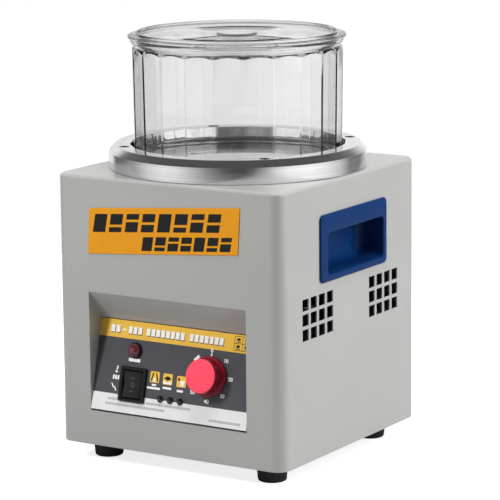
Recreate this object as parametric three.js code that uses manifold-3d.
// A bench-top magnetic tumbler: a clear bowl on a steel collar, over a painted case that holds
// a motor, a disc of magnets, a cooling fan and a sloped control panel.
// Millimetres. +Z is up, the control panel faces -Y, and the origin is on the table under the
// middle of the object.

import * as THREE from "three";
import { mergeVertices } from "three/addons/utils/BufferGeometryUtils.js";
import Module from "manifold-3d";

const wasm = await Module();
wasm.setup();

// ---------------------------------------------------------------- driving dimensions

const GAP = 0.3; // air between pieces that touch
const SHEET = 2.5; // thickness of the case walls

const CASE = { width: 231, depth: 234, height: 239.5, corner: 12, edge: 3 };
const FOOT = { height: 16.5, topRadius: 14, bottomRadius: 12.4, inset: 85.3 };
const CASE_BOTTOM = FOOT.height;
const CASE_TOP = CASE_BOTTOM + CASE.height;
const FRONT = -CASE.depth / 2;
const REAR = CASE.depth / 2;
const SIDE = CASE.width / 2;

const COLLAR = { outer: 113.8, inner: 94.5, height: 20, chamfer: 5.7, screwRadius: 102 };
const COLLAR_BOTTOM = CASE_TOP + GAP;
const COLLAR_TOP = COLLAR_BOTTOM + COLLAR.height;
const SCREW_OFFSET = COLLAR.screwRadius * Math.SQRT1_2;

const DECK = { opening: 88, flange: 2.4 };
const DECK_TOP = CASE_TOP + GAP + DECK.flange;

const BOWL = { facets: 22, turn: 3.2, radius: 93, wall: 3.5, floor: 4, height: 113.2 };
const BOWL_RIM = { radius: 96, neck: 93.3, flare: 6, land: 12 };
const BOWL_BASE = DECK_TOP + GAP;
const BOWL_TOP = BOWL_BASE + BOWL.height;

const LID = { radius: 89.4, rim: 2, plate: 2.4, rise: 2.8, plug: 87.6, skirt: 8, turn: 32 };
const LID_TOP = BOWL_TOP + 2.8;
// Both angles are in degrees; endWall is how much of the sector each end wall takes.
const LID_WELL = { inner: 24, outer: 61, halfAngle: 45, endWall: 4, depth: 9, wall: 1.8 };
const LID_BOSS = { radius: 17.8, rise: 1.2 };

// The control recess is a V in section: a short slope in from the top edge, then the panel,
// which comes back out to the front face at the bottom.
const RECESS = { x: -1, halfWidth: 80.6, top: 154.1, bottom: 47.6, depth: 19.2, wall: 2 };
const PANEL_TOP = { y: FRONT + RECESS.depth, z: 127.8 };
const PANEL_BOTTOM = { y: FRONT, z: 48.8 };
const PANEL_LENGTH = Math.hypot(PANEL_TOP.y - PANEL_BOTTOM.y, PANEL_TOP.z - PANEL_BOTTOM.z);
const PANEL_TILT = Math.atan2(PANEL_TOP.y - PANEL_BOTTOM.y, PANEL_TOP.z - PANEL_BOTTOM.z);
const PANEL_PLATE = 2;
const FILM = 0.4;
const FILM_TOP = GAP + FILM; // height of the printed film's face over the panel plate
const ON_FILM = FILM_TOP + 0.2; // where flanges sit, just clear of the film

// Places on the panel: x from the recess's middle, y down the slope from its top edge.
const LAMP = { x: -40.7, y: -25.4, rim: 7, lens: 6.2 };
const SWITCH = { x: -39.2, y: -55.3, width: 27, height: 30.5, proud: 2.2 };
const ROCKER = { width: 18.8, halfLength: 11.5, opening: { width: 19.4, height: 24.6 } };
const ROCKER_PIVOT = -0.2;
const LED = { xs: [-9.4, 0.7, 11.1], y: -64.3, rim: 3.15, body: 2.5 };
const KNOB = { x: 37.5, y: -39.4, flange: 17.7, radius: 14.9, height: 15.7 };
const TIMER = { size: 36, depth: 26, bush: 4.5, spindle: 3 };

// The label is stuck on at a slant: its right end sits higher and its top edge further right.
const LABEL = { x: -2.8, z: 214.4, width: 154, height: 40.5, rise: 12.7, lean: 2.5 };

const VENT = { size: 10, pitchY: 13.6, pitchZ: 13.1, columns: 4, rows: 3, z: 141.9 };
const VENT_GROUP_YS = [-57.7, 56];

const GRIP = {
  y: 2, z: 198.5, width: 114.4, height: 59, proud: 1.8, corner: 4,
  pocket: { y0: -43, y1: 53.7, z0: 175, z1: 211.2, depth: 26, hook: 8, lip: 7 },
  wall: 2,
};

const BRACKET = { half: 80, thickness: 4, z: 214 };
const MOTOR = { radius: 40, length: 79, shaft: 5 };
const DISC = { radius: 76, thickness: 8, z: 238, hub: 14, hubBottom: 222, bore: 5.3 };
const MAGNET = { radius: 15, height: 5, orbit: 52, count: 4 };

const REAR_OPENING = { halfWidth: 89, z0: 42, z1: 228 };
const REAR_PANEL = { halfWidth: 98, z0: 33, z1: 237, thickness: 1.5 };
const REAR_PANEL_FACE = REAR + GAP + REAR_PANEL.thickness;
const REAR_SCREW = { x: 93.5, z0: 37.5, z1: 232.5 };
const FAN = { z: 150, size: 92, depth: 25, bore: 43.5, hub: 17, blades: 7, tip: 42, guard: 2 };
const INLET = {
  x: -50, z: 72, flange: { width: 34, height: 50, thickness: 3 },
  body: { width: 27.4, height: 42, depth: 28 },
  socket: { z: 9, width: 24, height: 16.5, depth: 16 },
};
const DRAWER = { z: -11.5, width: 21.4, height: 8.4, depth: 22 };

const BOARD = { y: 10, width: 130, depth: 90, thickness: 1.6, z: 30 };
const BASE_PLATE = { z: CASE_BOTTOM + 0.5, thickness: 2 };

// The knob stands out at the front further than the inlet does at the back, so the case sits
// this far back for the whole object's box to be centred.
const KNOB_REACH = PANEL_TOP.y + (KNOB.y - KNOB.radius) * Math.sin(PANEL_TILT)
  - KNOB.height * Math.cos(PANEL_TILT);
const INLET_REACH = REAR_PANEL_FACE + GAP + INLET.flange.thickness;
const CENTRING_SHIFT = -(KNOB_REACH + INLET_REACH) / 2;

const degrees = (angle) => (angle * Math.PI) / 180;

// ---------------------------------------------------------------- materials

function material(color, roughness, metalness = 0, opacity = 1) {
  return new THREE.MeshStandardMaterial({
    color, roughness, metalness, opacity, transparent: opacity < 1,
  });
}

const PAINT = material(0xb9b9b5, 0.4);
const STEEL = material(0xb8b8ba, 0.28, 1);
const DARK_STEEL = material(0x3a3a3c, 0.45, 0.8);
const ALUMINIUM = material(0xc4c6c8, 0.4, 1);
const CLEAR = material(0xe9eeee, 0.08, 0, 0.35);
const RUBBER = material(0x141414, 0.85);
const BLACK_PLASTIC = material(0x161618, 0.45);
const BLUE_PLASTIC = material(0x16337a, 0.4);
const RED_PLASTIC = material(0xe2304c, 0.35);
const RED_LENS = material(0x5a1226, 0.15);
const ORANGE_FILM = material(0xeaa51c, 0.5);
const GREY_FILM = material(0x505054, 0.5);
const BOARD_GREEN = material(0x1f5a36, 0.5);
const MAGNET_FINISH = material(0xa9aaad, 0.25, 1);
const COPPER_BROWN = material(0x6a3f22, 0.5);
const LEAD_GREY = material(0x2c2c2e, 0.6);

// ---------------------------------------------------------------- shape helpers

function box(x0, x1, y0, y1, z0, z1) {
  const geometry = new THREE.BoxGeometry(x1 - x0, y1 - y0, z1 - z0);
  return geometry.translate((x0 + x1) / 2, (y0 + y1) / 2, (z0 + z1) / 2);
}

// An upright round bar.
function bar(radius, z0, z1, sides = 24, topRadius = radius) {
  const geometry = new THREE.CylinderGeometry(topRadius, radius, z1 - z0, sides);
  return geometry.rotateX(Math.PI / 2).translate(0, 0, (z0 + z1) / 2);
}

// A solid of revolution about Z; profile points are [radius, z], anticlockwise with the axis on
// the left.
function turned(profile, sides = 48) {
  const points = profile.map(([radius, z]) => new THREE.Vector2(radius, z));
  return new THREE.LatheGeometry(points, sides).rotateX(Math.PI / 2);
}

// A closed ring of revolution: the profile is closed by repeating its first point.
function turnedRing(profile, sides = 48) {
  return turned([...profile, profile[0]], sides);
}

function roundedRectangle(width, height, radius) {
  const [x, y] = [width / 2, height / 2];
  const shape = new THREE.Shape();
  shape.moveTo(-x + radius, -y);
  shape.lineTo(x - radius, -y);
  shape.absarc(x - radius, -y + radius, radius, -Math.PI / 2, 0);
  shape.lineTo(x, y - radius);
  shape.absarc(x - radius, y - radius, radius, 0, Math.PI / 2);
  shape.lineTo(-x + radius, y);
  shape.absarc(-x + radius, y - radius, radius, Math.PI / 2, Math.PI);
  shape.lineTo(-x, -y + radius);
  shape.absarc(-x + radius, -y + radius, radius, Math.PI, 1.5 * Math.PI);
  return shape;
}

function polygon(points) {
  return new THREE.Shape(points.map(([x, y]) => new THREE.Vector2(x, y)));
}

// A flat plate of a shape in X and Y, from z0 up to z1.
function plate(shape, z0, z1, curveSegments = 5) {
  const options = { depth: z1 - z0, bevelEnabled: false, curveSegments };
  return new THREE.ExtrudeGeometry(shape, options).translate(0, 0, z0);
}

// A prism along X: the points are [y, z].
function prismAlongX(points, x0, x1) {
  const geometry = new THREE.ExtrudeGeometry(polygon(points), {
    depth: x1 - x0, bevelEnabled: false,
  });
  // Local x, y and z become Y, Z and X.
  const turn = new THREE.Matrix4().makeBasis(
    new THREE.Vector3(0, 1, 0), new THREE.Vector3(0, 0, 1), new THREE.Vector3(1, 0, 0),
  );
  return geometry.applyMatrix4(turn).translate(x0, 0, 0);
}

// Turns a piece made upright so that its +Z end points along +Y, with its +Y end pointing down.
function facingRear(geometry) {
  return geometry.rotateX(-Math.PI / 2);
}

// ---------------------------------------------------------------- joins and cuts

function solidOf(geometry) {
  const bare = geometry.clone();
  bare.deleteAttribute("normal");
  bare.deleteAttribute("uv");
  const merged = mergeVertices(bare, 1e-4);
  return new wasm.Manifold(new wasm.Mesh({
    numProp: 3,
    vertProperties: new Float32Array(merged.attributes.position.array),
    triVerts: new Uint32Array(merged.index.array),
  }));
}

function geometryOf(solid) {
  const mesh = solid.getMesh();
  const geometry = new THREE.BufferGeometry();
  geometry.setAttribute("position", new THREE.BufferAttribute(mesh.vertProperties, 3));
  geometry.setIndex(new THREE.BufferAttribute(mesh.triVerts, 1));
  const flat = geometry.toNonIndexed();
  flat.computeVertexNormals();
  return flat;
}

const joined = (geometries) => geometries.map(solidOf).reduce((a, b) => a.add(b));

function shaped(added, removed = []) {
  let solid = joined(added);
  if (removed.length) solid = solid.subtract(joined(removed));
  return geometryOf(solid);
}

function named(name, geometry, finish) {
  const mesh = new THREE.Mesh(geometry, finish);
  mesh.name = name;
  return mesh;
}

// Copies of a screw-like piece, each a node of its own.
function copies(name, geometry, finish, places) {
  return places.map(([x, y, z], index) => {
    const mesh = named(`${name}_${index + 1}`, geometry, finish);
    mesh.position.set(x, y, z);
    return mesh;
  });
}

const fourCorners = (x, y, z = 0) => [[x, -y, z], [x, y, z], [-x, y, z], [-x, -y, z]];

// ---------------------------------------------------------------- the case

// The outer or inner skin of the case: a box with round upright corners and an eased top edge.
function caseBlock(inset, bottom) {
  const edge = CASE.edge;
  const shape = roundedRectangle(
    CASE.width - 2 * (inset + edge), CASE.depth - 2 * (inset + edge),
    CASE.corner - inset - edge,
  );
  const top = CASE_TOP - inset;
  const geometry = new THREE.ExtrudeGeometry(shape, {
    depth: top - bottom - edge, curveSegments: 6,
    bevelEnabled: true, bevelSize: edge, bevelThickness: edge, bevelSegments: 2,
  });
  return geometry.translate(0, 0, bottom);
}

// The walls of the control recess: the short slope and the two cheeks beside the panel.
function recessWalls() {
  const { x, halfWidth, wall, top } = RECESS;
  const [left, right] = [x - halfWidth, x + halfWidth];
  const slope = new THREE.Vector2(PANEL_TOP.y - FRONT, PANEL_TOP.z - top).normalize();
  const behind = [-slope.y * wall, slope.x * wall];
  const slopeWall = prismAlongX([
    [FRONT, top],
    [PANEL_TOP.y, PANEL_TOP.z],
    [PANEL_TOP.y + behind[0], PANEL_TOP.z + behind[1]],
    [FRONT + behind[0], top + behind[1]],
  ], left - wall, right + wall);
  const cheek = [
    [FRONT + 1, RECESS.bottom],
    [FRONT + 5, RECESS.bottom],
    [PANEL_TOP.y + 4, PANEL_TOP.z - 2],
    [PANEL_TOP.y + 4, PANEL_TOP.z + 1],
    [FRONT + 5, top + 2],
    [FRONT + 1, top + 2],
  ];
  return [
    slopeWall,
    prismAlongX(cheek, left - wall, left),
    prismAlongX(cheek, right, right + wall),
  ];
}

function ventHoles() {
  const holes = [];
  for (const groupY of VENT_GROUP_YS) {
    for (let column = 0; column < VENT.columns; column++) {
      for (let row = 0; row < VENT.rows; row++) {
        const y = groupY + (column - (VENT.columns - 1) / 2) * VENT.pitchY;
        const z = VENT.z + (row - (VENT.rows - 1) / 2) * VENT.pitchZ;
        const half = VENT.size / 2;
        for (const side of [-1, 1]) {
          const x = side * (SIDE - SHEET / 2);
          holes.push(box(x - 3, x + 3, y - half, y + half, z - half, z + half));
        }
      }
    }
  }
  return holes;
}

function gripHole(side) {
  const { pocket, wall } = GRIP;
  const x = side * SIDE;
  return box(
    x - 5, x + 5,
    pocket.y0 - wall - GAP, pocket.y1 + wall + GAP,
    pocket.z0 - wall - GAP, pocket.z1 + pocket.hook + wall + GAP,
  );
}

function caseShell() {
  const recessLeft = RECESS.x - RECESS.halfWidth;
  const recessRight = RECESS.x + RECESS.halfWidth;
  const frontHole = box(
    recessLeft, recessRight, FRONT - 1, FRONT + SHEET + 0.5, RECESS.bottom, RECESS.top,
  );
  const rearHole = box(
    -REAR_OPENING.halfWidth, REAR_OPENING.halfWidth, REAR - SHEET - 1, REAR + 1,
    REAR_OPENING.z0, REAR_OPENING.z1,
  );
  const belowCase = box(-150, 150, -150, 150, CASE_BOTTOM - 60, CASE_BOTTOM);
  const deckHole = bar(DECK.opening, CASE_TOP - 6, CASE_TOP + 1, 40);
  const collarScrewHoles = fourCorners(SCREW_OFFSET, SCREW_OFFSET).map(([x, y]) =>
    bar(2.6, CASE_TOP - 6, CASE_TOP + 1, 10).translate(x, y, 0));
  const rearScrewHoles = rearScrewPlaces().map(([x, , z]) =>
    facingRear(bar(2.4, REAR - 5, REAR + 2, 10)).translate(x, 0, z));
  const skin = solidOf(caseBlock(0, CASE_BOTTOM - 20))
    .subtract(solidOf(caseBlock(SHEET, CASE_BOTTOM - 30)))
    .subtract(solidOf(belowCase))
    .subtract(solidOf(frontHole));
  const walls = joined(recessWalls());
  const cuts = joined([
    rearHole, deckHole, ...collarScrewHoles, ...rearScrewHoles, ...ventHoles(),
    gripHole(-1), gripHole(1),
  ]);
  return named("case_shell", geometryOf(skin.add(walls).subtract(cuts)), PAINT);
}

function basePlate() {
  const inset = SHEET + GAP;
  const shape = roundedRectangle(
    CASE.width - 2 * inset, CASE.depth - 2 * inset, CASE.corner - inset,
  );
  const top = BASE_PLATE.z + BASE_PLATE.thickness;
  const pillars = fourCorners(BOARD.width / 2 - 8, BOARD.depth / 2 - 8).map(([x, y]) =>
    bar(3.5, top - 1, BOARD.z - GAP, 10).translate(x, y + BOARD.y, 0));
  const screwHoles = fourCorners(FOOT.inset, FOOT.inset).map(([x, y]) =>
    bar(2.4, BASE_PLATE.z - 1, top + 1, 10).translate(x, y, 0));
  const geometry = shaped([plate(shape, BASE_PLATE.z, top), ...pillars], screwHoles);
  return named("base_plate", geometry, PAINT);
}

function feet() {
  const top = BASE_PLATE.z - GAP;
  const edge = 1.3;
  const foot = turnedRing([
    [5.6, 0], [FOOT.bottomRadius - edge, 0], [FOOT.bottomRadius, edge],
    [FOOT.topRadius, top], [2.4, top], [2.4, 9.3], [5.6, 9.3],
  ], 18);
  const screw = turned([
    [0, 6], [4.6, 6], [4.6, 9], [2, 9], [2, 24], [0, 24],
  ], 10);
  const places = fourCorners(FOOT.inset, FOOT.inset);
  return [
    ...copies("foot", foot, RUBBER, places),
    ...copies("foot_screw", screw, DARK_STEEL, places),
  ];
}

function frontLabel() {
  const corners = [[-1, -1], [1, -1], [1, 1], [-1, 1]].map(([right, up]) => [
    LABEL.x + (right * LABEL.width + up * LABEL.lean) / 2,
    LABEL.z + (up * LABEL.height + right * LABEL.rise) / 2,
  ]);
  const geometry = plate(polygon(corners), 0, FILM);
  // Local x, y and z become X, Z and -Y.
  geometry.rotateX(Math.PI / 2).translate(0, FRONT - GAP, 0);
  return named("front_label", geometry, ORANGE_FILM);
}

// A blue hand recess for one side wall: a flange outside, a pocket inside, and a hook behind
// the flange's upper band for the fingers.
function gripCup(side) {
  const { pocket, wall } = GRIP;
  const flangeShape = roundedRectangle(GRIP.width, GRIP.height, GRIP.corner);
  const flangeIn = SIDE + GAP;
  const flange = plate(flangeShape, 0, GRIP.proud, 3)
    .applyMatrix4(new THREE.Matrix4().makeBasis(
      new THREE.Vector3(0, 1, 0), new THREE.Vector3(0, 0, 1), new THREE.Vector3(1, 0, 0),
    ))
    .translate(flangeIn, GRIP.y, GRIP.z);
  const bottomOfPocket = flangeIn + GRIP.proud - pocket.depth;
  const cup = box(
    bottomOfPocket - wall, flangeIn + 0.5, pocket.y0 - wall, pocket.y1 + wall,
    pocket.z0 - wall, pocket.z1 + pocket.hook + wall,
  );
  const mouth = box(
    bottomOfPocket, flangeIn + GRIP.proud + 1, pocket.y0, pocket.y1, pocket.z0, pocket.z1,
  );
  const hook = box(
    bottomOfPocket, flangeIn + GRIP.proud - pocket.lip, pocket.y0, pocket.y1,
    pocket.z1 - 1, pocket.z1 + pocket.hook,
  );
  const geometry = shaped([flange, cup], [mouth, hook]);
  const mesh = named(side > 0 ? "grip_cup_right" : "grip_cup_left", geometry, BLUE_PLASTIC);
  if (side < 0) mesh.scale.x = -1;
  return mesh;
}

// ---------------------------------------------------------------- collar, deck, bowl and lid

function collar() {
  const { outer, inner, chamfer } = COLLAR;
  const ring = turnedRing([
    [inner, COLLAR_BOTTOM], [outer, COLLAR_BOTTOM], [outer, COLLAR_TOP - chamfer],
    [outer - chamfer, COLLAR_TOP], [inner, COLLAR_TOP],
  ], 48);
  const screwHole = turned([
    [0, COLLAR_BOTTOM - 1], [2.6, COLLAR_BOTTOM - 1], [2.6, COLLAR_TOP - 3.6],
    [4.5, COLLAR_TOP - 1.7], [4.5, COLLAR_TOP + 1], [0, COLLAR_TOP + 1],
  ], 12);
  const holes = fourCorners(SCREW_OFFSET, SCREW_OFFSET).map(([x, y]) =>
    screwHole.clone().translate(x, y, 0));
  const screw = turned([
    [0, BRACKET.z + 30], [2, BRACKET.z + 30], [2, COLLAR_TOP - 3.4],
    [4, COLLAR_TOP - 1.4], [4, COLLAR_TOP - 0.4], [0, COLLAR_TOP - 0.4],
  ], 12);
  return [
    named("collar_ring", shaped([ring], holes), STEEL),
    ...copies("collar_screw", screw, DARK_STEEL, fourCorners(SCREW_OFFSET, SCREW_OFFSET)),
  ];
}

function deckPlate() {
  const under = CASE_TOP - SHEET;
  const geometry = turned([
    [0, under], [DECK.opening - GAP, under], [DECK.opening - GAP, CASE_TOP + GAP],
    [COLLAR.inner - GAP, CASE_TOP + GAP], [COLLAR.inner - GAP, DECK_TOP], [0, DECK_TOP],
  ], 40);
  return named("deck_plate", geometry, ALUMINIUM);
}

// The bowl's outside is a prism of flat facets; a round band joins it to the flared rim.
function bowl() {
  const { radius, wall, floor, facets } = BOWL;
  const bandBottom = BOWL_TOP - BOWL_RIM.land;
  const inner = radius - wall;
  const sides = facets * 2;
  const facetedWall = turned([
    [0, BOWL_BASE], [radius - 1.5, BOWL_BASE], [radius, BOWL_BASE + 1.5],
    [radius, bandBottom + 1], [0, bandBottom + 1],
  ], facets);
  const rim = turned([
    [0, bandBottom], [radius - 1, bandBottom], [BOWL_RIM.neck, bandBottom + 2],
    [BOWL_RIM.neck, BOWL_TOP - BOWL_RIM.flare], [BOWL_RIM.radius, BOWL_TOP - 1],
    [BOWL_RIM.radius - 0.6, BOWL_TOP], [0, BOWL_TOP],
  ], sides);
  const hollow = turned([
    [0, BOWL_BASE + floor], [inner - 4, BOWL_BASE + floor], [inner, BOWL_BASE + floor + 4],
    [inner, BOWL_TOP - BOWL_RIM.flare], [inner + 1.6, BOWL_TOP + 1], [0, BOWL_TOP + 1],
  ], sides);
  const geometry = shaped([facetedWall, rim], [hollow]);
  const mesh = named("bowl", geometry, CLEAR);
  mesh.rotation.z = degrees(BOWL.turn);
  return mesh;
}

// A sector of a ring, from inner to outer radius, centred on -Y.
function sector(inner, outer, halfAngle) {
  const middle = -Math.PI / 2;
  const shape = new THREE.Shape();
  shape.absarc(0, 0, outer, middle - degrees(halfAngle), middle + degrees(halfAngle));
  shape.absarc(0, 0, inner, middle + degrees(halfAngle), middle - degrees(halfAngle), true);
  return shape;
}

// The lid is a shallow tray with a raised rim, a plug that drops into the bowl, a low boss in
// the middle and two finger wells, one on each side of a bar.
function bowlLid() {
  const plateTop = LID_TOP - LID.rise;
  const plateBottom = plateTop - LID.plate;
  const { depth, wall } = LID_WELL;
  const lidBody = turned([
    [0, plateBottom], [LID.plug - 2.2, plateBottom], [LID.plug - 2.2, plateBottom - LID.skirt],
    [LID.plug, plateBottom - LID.skirt], [LID.plug, BOWL_TOP + GAP], [LID.radius, BOWL_TOP + GAP],
    [LID.radius, LID_TOP], [LID.radius - LID.rim, LID_TOP], [LID.radius - LID.rim, plateTop],
    [LID_BOSS.radius, plateTop], [LID_BOSS.radius, plateTop + LID_BOSS.rise],
    [0, plateTop + LID_BOSS.rise],
  ], 44);
  const wellBottom = plateTop - depth;
  const tub = plate(
    sector(LID_WELL.inner - wall, LID_WELL.outer + wall, LID_WELL.halfAngle + LID_WELL.endWall),
    wellBottom - wall, plateTop - 0.5, 6,
  );
  const well = plate(
    sector(LID_WELL.inner, LID_WELL.outer, LID_WELL.halfAngle), wellBottom, plateTop + 1, 6,
  );
  const geometry = shaped(
    [lidBody, tub, tub.clone().rotateZ(Math.PI)], [well, well.clone().rotateZ(Math.PI)],
  );
  const mesh = named("bowl_lid", geometry, CLEAR);
  mesh.rotation.z = degrees(LID.turn);
  return mesh;
}

// ---------------------------------------------------------------- the control panel

// Everything in this group is placed on the panel: x from the recess's middle, y up the slope
// (so places on the panel are negative) and z out of the panel.
function panelGroup() {
  const group = new THREE.Group();
  group.position.set(RECESS.x, PANEL_TOP.y, PANEL_TOP.z);
  group.rotation.x = Math.PI / 2 - PANEL_TILT;
  group.add(
    controlPanel(), panelOverlay(), ...indicatorLamp(), ...rockerSwitch(), ...statusLeds(),
    ...timer(),
  );
  return group;
}

const at = (place, geometry) => geometry.translate(place.x, place.y, 0);

function panelHoles(bottom, top) {
  return [
    at(LAMP, bar(5.3, bottom, top, 16)),
    at(SWITCH, box(-12.3, 12.3, -14.3, 14.3, bottom, top)),
    ...LED.xs.map((x) => at({ x, y: LED.y }, bar(LED.body + GAP, bottom, top, 12))),
    at(KNOB, bar(TIMER.bush + GAP, bottom, top, 16)),
  ];
}

function controlPanel() {
  const half = RECESS.halfWidth - GAP;
  const sheet = box(-half, half, -PANEL_LENGTH + 0.4, -0.4, -PANEL_PLATE, 0);
  const geometry = shaped([sheet], panelHoles(-PANEL_PLATE - 1, 1));
  return named("control_panel", geometry, PAINT);
}

function panelOverlay() {
  const half = RECESS.halfWidth - GAP;
  const sheet = box(-half, half, -PANEL_LENGTH + 0.6, -0.4, GAP, FILM_TOP);
  return named("panel_overlay", shaped([sheet], panelHoles(0, 2)), GREY_FILM);
}

function indicatorLamp() {
  const body = turned([
    [0, -18], [5, -18], [5, ON_FILM], [LAMP.rim, ON_FILM], [LAMP.rim, ON_FILM + 1.2],
    [0, ON_FILM + 1.2],
  ], 20);
  const base = ON_FILM + 1.2 + GAP;
  const dome = [[0, base], [LAMP.lens, base]];
  for (let step = 0; step <= 4; step++) {
    const angle = degrees(step * 22.5);
    dome.push([LAMP.lens * Math.cos(angle), base + 0.8 + 3.8 * Math.sin(angle)]);
  }
  dome[dome.length - 1][0] = 0;
  return [
    named("lamp_body", at(LAMP, body), BLACK_PLASTIC),
    named("lamp_lens", at(LAMP, turned(dome, 20)), RED_LENS),
  ];
}

function rockerSwitch() {
  const { width, height, proud } = SWITCH;
  const bezel = plate(roundedRectangle(width, height, 1.5), ON_FILM, ON_FILM + proud, 2);
  const body = box(-12, 12, -14, 14, -22, ON_FILM + 0.5);
  const { opening } = ROCKER;
  const well = box(
    -opening.width / 2, opening.width / 2, -opening.height / 2, opening.height / 2, -9, 6,
  );
  const housing = shaped([bezel, body], [well]);
  // The rocker's ends lie on a circle about its pivot, so they stay clear as it tips.
  const half = ROCKER.halfLength;
  const profile = [
    [-half, 3.2], [-half - 0.4, 0], [-8, -6], [8, -6], [half + 0.4, 0], [half, 3.2], [0, 1.9],
  ].map(([y, z]) => [y, z + ROCKER_PIVOT]);
  const rocker = prismAlongX(profile, -ROCKER.width / 2, ROCKER.width / 2);
  return [
    named("switch_housing", at(SWITCH, housing), BLACK_PLASTIC),
    named("switch_rocker", at(SWITCH, rocker), BLACK_PLASTIC),
  ];
}

function statusLeds() {
  const profile = [
    [0, -7], [LED.body, -7], [LED.body, ON_FILM], [LED.rim, ON_FILM], [LED.rim, ON_FILM + 0.6],
    [LED.rim - 0.4, ON_FILM + 1.4], [LED.rim - 1.4, ON_FILM + 2.2], [0, ON_FILM + 2.5],
  ];
  const places = LED.xs.map((x) => [x, LED.y, 0]);
  return copies("status_led", turned(profile, 14), BLACK_PLASTIC, places);
}

function timer() {
  const { size, depth, bush, spindle } = TIMER;
  const back = -PANEL_PLATE - GAP;
  const bushTop = ON_FILM + 3;
  const body = shaped([
    plate(roundedRectangle(size, size, 4), back - depth, back, 2),
    bar(bush, back - 1, bushTop, 16),
  ]);
  const nut = shaped([bar(7.5, ON_FILM, ON_FILM + 2, 6)], [bar(bush + GAP, 0, 6, 16)]);
  const shaft = bar(spindle, bushTop + GAP, KNOB.height - 3, 12);
  const knobBottom = ON_FILM + 0.4;
  const flangeTop = 4.3;
  const cavity = 9.5;
  const bore = spindle + GAP;
  const knob = turned([
    [0, KNOB.height - 3 + GAP], [bore, KNOB.height - 3 + GAP], [bore, bushTop + 1.5],
    [cavity, bushTop + 1.5], [cavity, knobBottom], [KNOB.flange, knobBottom],
    [KNOB.flange, flangeTop - 1], [KNOB.flange - 0.9, flangeTop], [KNOB.radius + 0.3, flangeTop],
    [KNOB.radius, KNOB.height - 1], [KNOB.radius - 0.9, KNOB.height], [0, KNOB.height],
  ], 28);
  return [
    named("timer_body", at(KNOB, body), BLACK_PLASTIC),
    named("timer_nut", at(KNOB, nut), STEEL),
    named("timer_spindle", at(KNOB, shaft), STEEL),
    named("timer_knob", at(KNOB, knob), RED_PLASTIC),
  ];
}

// ---------------------------------------------------------------- the drive, under the deck

function drive() {
  const bracketTop = BRACKET.z + BRACKET.thickness;
  const bracket = shaped(
    [plate(roundedRectangle(2 * BRACKET.half, 2 * BRACKET.half, 10), BRACKET.z, bracketTop, 3)],
    [bar(DISC.hub + 3, BRACKET.z - 1, bracketTop + 1, 24)],
  );
  const pillarTop = CASE_TOP - SHEET - GAP;
  const pillar = turned([
    [0, bracketTop + GAP], [5.5, bracketTop + GAP], [5.5, pillarTop], [2.4, pillarTop],
    [2.4, BRACKET.z + 28], [0, BRACKET.z + 28],
  ], 12);
  const motorTop = BRACKET.z - GAP;
  const motorBottom = motorTop - MOTOR.length;
  const motor = turned([
    [0, motorBottom], [14, motorBottom], [14, motorBottom + 4], [MOTOR.radius - 3, motorBottom + 4],
    [MOTOR.radius, motorBottom + 7], [MOTOR.radius, motorTop - 3], [MOTOR.radius - 3, motorTop],
    [0, motorTop],
  ], 24);
  const discTop = DISC.z + DISC.thickness;
  const disc = turnedRing([
    [DISC.bore, DISC.hubBottom], [DISC.hub, DISC.hubBottom], [DISC.hub, DISC.z],
    [DISC.radius, DISC.z], [DISC.radius, discTop], [DISC.bore, discTop],
  ], 32);
  const magnetPlaces = Array.from({ length: MAGNET.count }, (_, index) => {
    const angle = (index + 0.5) * (2 * Math.PI / MAGNET.count);
    return [MAGNET.orbit * Math.cos(angle), MAGNET.orbit * Math.sin(angle), discTop + GAP];
  });
  return [
    named("motor_bracket", bracket, ALUMINIUM),
    ...copies("bracket_pillar", pillar, STEEL, fourCorners(SCREW_OFFSET, SCREW_OFFSET)),
    named("drive_motor", motor, DARK_STEEL),
    named("motor_shaft", bar(MOTOR.shaft, motorTop + GAP, discTop, 16), STEEL),
    named("magnet_disc", disc, ALUMINIUM),
    ...copies("rotor_magnet", bar(MAGNET.radius, 0, MAGNET.height, 20), MAGNET_FINISH,
      magnetPlaces),
  ];
}

// ---------------------------------------------------------------- the back

function rearScrewPlaces() {
  const { x, z0, z1 } = REAR_SCREW;
  return [[x, 0, z0], [x, 0, z1], [-x, 0, z1], [-x, 0, z0]];
}

function rearPanel() {
  const { halfWidth, z0, z1, thickness } = REAR_PANEL;
  const shape = roundedRectangle(2 * halfWidth, z1 - z0, 4);
  const inner = REAR + GAP;
  const sheet = facingRear(plate(shape, inner, inner + thickness, 2))
    .translate(0, 0, (z0 + z1) / 2);
  const fanHole = facingRear(bar(FAN.bore - 2, inner - 1, inner + thickness + 1, 32))
    .translate(0, 0, FAN.z);
  const { width, height } = INLET.body;
  const inletHole = box(
    INLET.x - width / 2 - GAP, INLET.x + width / 2 + GAP, inner - 1, inner + thickness + 1,
    INLET.z - height / 2 - GAP, INLET.z + height / 2 + GAP,
  );
  const screwHoles = rearScrewPlaces().map(([x, , z]) =>
    facingRear(bar(2.4, inner - 1, inner + thickness + 1, 10)).translate(x, 0, z));
  const screw = facingRear(turned([
    [0, REAR - 6], [2, REAR - 6], [2, REAR_PANEL_FACE + GAP], [4, REAR_PANEL_FACE + GAP],
    [3.4, REAR_PANEL_FACE + GAP + 1.8], [0, REAR_PANEL_FACE + GAP + 1.8],
  ], 12));
  return [
    named("rear_panel", shaped([sheet], [fanHole, inletHole, ...screwHoles]), PAINT),
    ...copies("rear_screw", screw, DARK_STEEL, rearScrewPlaces()),
  ];
}

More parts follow.
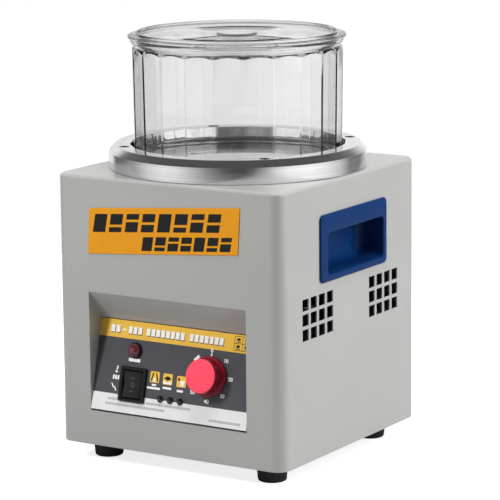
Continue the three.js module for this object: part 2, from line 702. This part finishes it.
// The finger guard is a disc with rings of slots cut through it, which leaves rings and spokes.
function fanGuard(z0, z1) {
  const spokes = 4;
  const spokeHalf = 1.6;
  const slots = [];
  for (const [inner, outer] of [[12, 20], [23, 31], [34, 42]]) {
    const halfAngle = 180 / spokes - (spokeHalf / inner) * (180 / Math.PI);
    for (let index = 0; index < spokes; index++) {
      const slot = plate(sector(inner, outer, halfAngle), z0 - 1, z1 + 1, 2);
      slots.push(slot.rotateZ((index + 0.5) * (2 * Math.PI / spokes)));
    }
  }
  return shaped([bar(46, z0, z1, 24)], slots);
}

function coolingFan() {
  const back = REAR;
  const front = REAR - FAN.depth;
  const half = FAN.size / 2;
  const place = (geometry) => facingRear(geometry).translate(0, 0, FAN.z);
  const strutHalf = 2.5;
  const frame = shaped([
    shaped([box(-half, half, -half, half, front, back)], [bar(FAN.bore, front - 1, back + 1, 32)]),
    bar(FAN.hub, front, front + 3, 20),
    box(-half + 1, half - 1, -strutHalf, strutHalf, front, front + 2.5),
    box(-strutHalf, strutHalf, -half + 1, half - 1, front, front + 2.5),
  ]);
  const hubBottom = front + 3 + GAP;
  const pitch = degrees(38);
  const blades = Array.from({ length: FAN.blades }, (_, index) => {
    const blade = box(FAN.hub - 3, FAN.tip, -9, 9, -0.9, 0.9);
    return blade.rotateX(pitch).translate(0, 0, hubBottom + 9)
      .rotateZ(index * (2 * Math.PI / FAN.blades));
  });
  const rotor = shaped([bar(FAN.hub, hubBottom, hubBottom + 18, 20), ...blades]);
  const guardInner = REAR_PANEL_FACE + GAP;
  return [
    named("cooling_fan_frame", place(frame), BLACK_PLASTIC),
    named("cooling_fan_rotor", place(rotor), BLACK_PLASTIC),
    named("fan_guard", place(fanGuard(guardInner, guardInner + FAN.guard)), STEEL),
  ];
}

// The mains inlet: a socket above and a small fuse drawer below, in one flanged moulding.
function powerInlet() {
  const { flange, body, socket } = INLET;
  const inner = REAR_PANEL_FACE + GAP;
  const face = inner + flange.thickness;
  const centred = (width, height, y0, y1, dz = 0) => box(
    INLET.x - width / 2, INLET.x + width / 2, y0, y1,
    INLET.z + dz - height / 2, INLET.z + dz + height / 2,
  );
  const inlet = shaped([
    centred(flange.width, flange.height, inner, face),
    centred(body.width, body.height, inner - body.depth, inner + 0.5),
  ], [
    centred(socket.width, socket.height, face - socket.depth, face + 1, socket.z),
    centred(DRAWER.width + 2 * GAP, DRAWER.height + 2 * GAP, face - DRAWER.depth - GAP, face + 1,
      DRAWER.z),
  ]);
  const drawer = centred(
    DRAWER.width, DRAWER.height, face - DRAWER.depth, face - 0.5, DRAWER.z,
  );
  return [
    named("power_inlet", inlet, BLACK_PLASTIC),
    named("fuse_drawer", drawer, BLACK_PLASTIC),
  ];
}

// ---------------------------------------------------------------- electronics and leads

function controlBoard() {
  const board = box(
    -BOARD.width / 2, BOARD.width / 2, BOARD.y - BOARD.depth / 2, BOARD.y + BOARD.depth / 2,
    BOARD.z, BOARD.z + BOARD.thickness,
  );
  const top = BOARD.z + BOARD.thickness + GAP;
  const core = box(18, 58, -18, 16, top + 6, top + 28);
  const windings = box(24, 52, -26, 24, top, top + 34);
  return [
    named("control_board", board, BOARD_GREEN),
    named("board_transformer", shaped([core, windings]), COPPER_BROWN),
  ];
}

function lead(name, points) {
  const curve = new THREE.CatmullRomCurve3(points.map((p) => new THREE.Vector3(...p)));
  const section = new THREE.Shape();
  const radius = 3;
  section.absarc(0, 0, radius, 0, 2 * Math.PI);
  const options = { steps: 12, extrudePath: curve, curveSegments: 4, bevelEnabled: false };
  return named(name, new THREE.ExtrudeGeometry(section, options), LEAD_GREY);
}

function leads() {
  const boardTop = BOARD.z + BOARD.thickness + 0.6;
  const inletBack = REAR_PANEL_FACE + GAP - INLET.body.depth - 0.6;
  const motorBottom = BRACKET.z - GAP - MOTOR.length - 0.6;
  return [
    lead("mains_lead", [
      [INLET.x, inletBack, INLET.z - 6], [INLET.x, inletBack - 12, INLET.z - 8],
      [INLET.x, inletBack - 26, INLET.z - 18], [INLET.x, inletBack - 38, 46],
      [INLET.x, inletBack - 41, boardTop],
    ]),
    lead("motor_lead", [
      [-30, -10, boardTop], [-30, -11, 50], [-24, -8, 82], [-6, -3, 112], [0, 0, 124],
      [0, 0, motorBottom],
    ]),
  ];
}

// ---------------------------------------------------------------- assembly

const magneticTumbler = new THREE.Group();
magneticTumbler.position.y = CENTRING_SHIFT;
magneticTumbler.add(
  caseShell(), basePlate(), ...feet(), frontLabel(), gripCup(1), gripCup(-1),
  ...collar(), deckPlate(), bowl(), bowlLid(),
  panelGroup(),
  ...drive(),
  ...rearPanel(), ...coolingFan(), ...powerInlet(),
  ...controlBoard(), ...leads(),
);

export default magneticTumbler;
